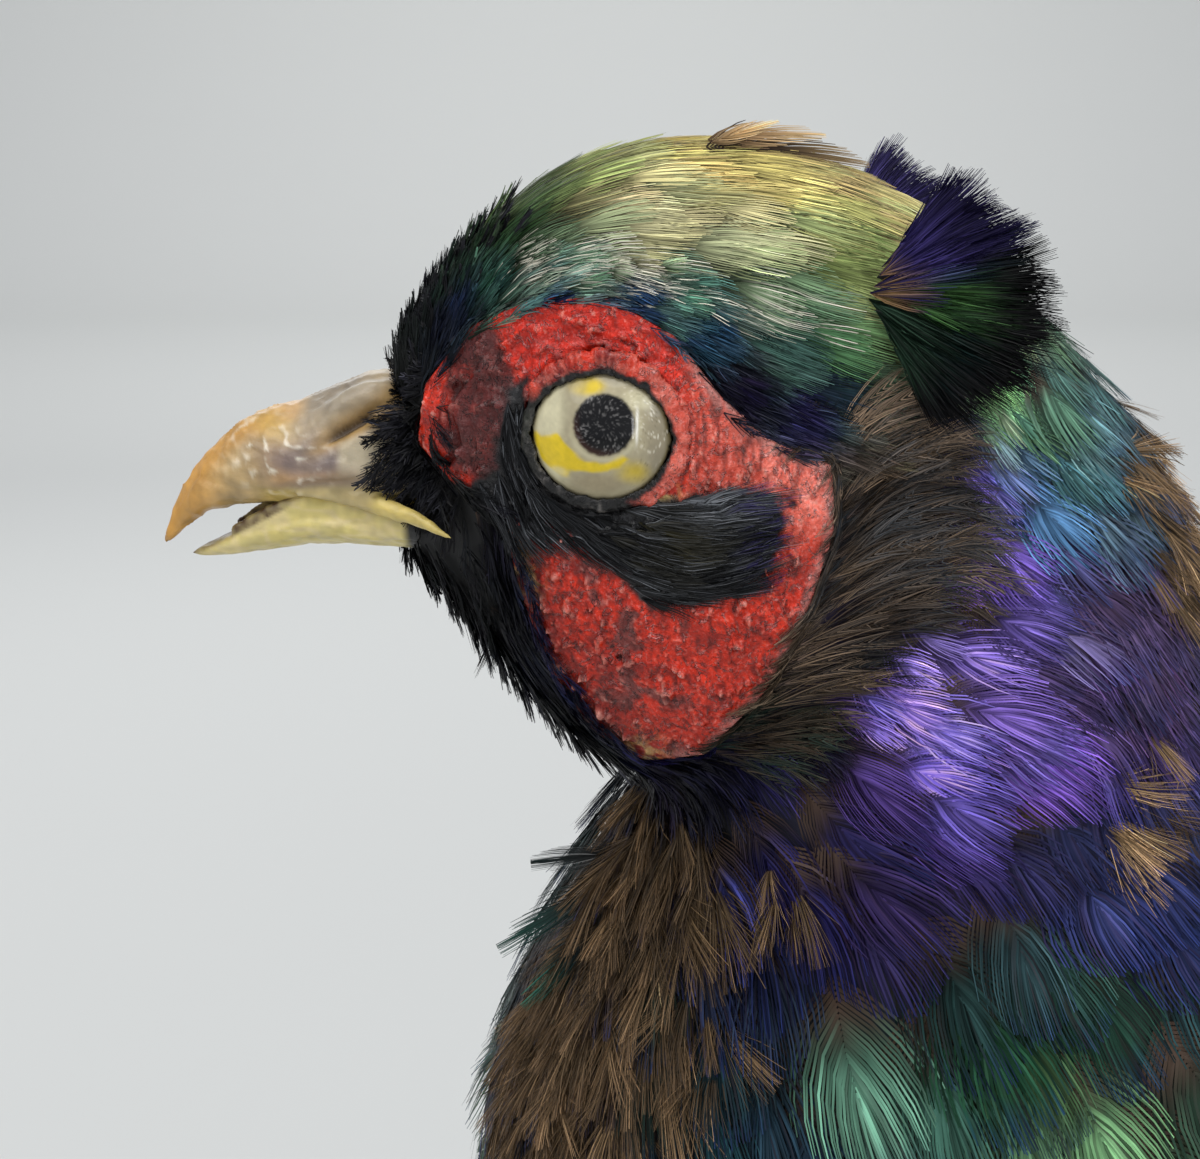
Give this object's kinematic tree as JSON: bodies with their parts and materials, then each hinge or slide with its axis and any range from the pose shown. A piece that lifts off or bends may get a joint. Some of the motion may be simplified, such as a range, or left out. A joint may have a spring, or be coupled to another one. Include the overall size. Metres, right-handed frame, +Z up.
{
  "type": "taxidermy cock pheasant",
  "caption": "Mounted cock green pheasant standing on a wooden base, head turned to its right, with red face, horn bill, closed wings and long barred tail.",
  "frame": {"origin": "middle of the wooden base's underside", "axes": "+X from the breast to the tail along the base, the bird's body heading along -X, +Y the bird's right, +Z up"},
  "size_m": [0.6438, 0.176, 0.3532],
  "materials": {
    "crown_green": "short iridescent green and bronze feathers",
    "neck_violet": "soft feathers with a violet and blue sheen",
    "breast_green": "dark green glossy feathers",
    "wing_slate": "slate and brown barred feathers",
    "tail_olive": "long olive-grey feathers with dark bars",
    "thigh_brown": "dark brown downy feathers",
    "face_red": "bare red skin, painted and slightly glossy",
    "lid_black": "thin black skin",
    "glass_eye": "polished glass taxidermy eye, opaque",
    "horn_bill": "pale horn, worn and slightly glossy",
    "leg_scale": "horny scales, grey brown",
    "claw_horn": "dark horn",
    "base_wood": "varnished brown wood"
  },
  "bodies": {
    "root": {"bill_lower": "horn_bill", "bill_upper": "horn_bill", "claw_left_hind": "claw_horn", "claw_left_inner": "claw_horn", "claw_left_middle": "claw_horn", "claw_left_outer": "claw_horn", "claw_right_hind": "claw_horn", "claw_right_inner": "claw_horn", "claw_right_middle": "claw_horn", "claw_right_outer": "claw_horn", "ear_tuft_left": "neck_violet", "ear_tuft_right": "neck_violet", "eye_left": "glass_eye", "eye_right": "glass_eye", "foot_left": "leg_scale", "foot_right": "leg_scale", "head": "crown_green", "lids_left": "lid_black", "lids_right": "lid_black", "neck": "neck_violet", "shank_left": "leg_scale", "shank_right": "leg_scale", "spur_left": "claw_horn", "spur_right": "claw_horn", "stand_base": "base_wood", "tail": "tail_olive", "thigh_left": "thigh_brown", "thigh_right": "thigh_brown", "trunk": "breast_green", "wattle_left": "face_red", "wattle_right": "face_red", "wing_left": "wing_slate", "wing_right": "wing_slate"}
  },
  "joints": []
}
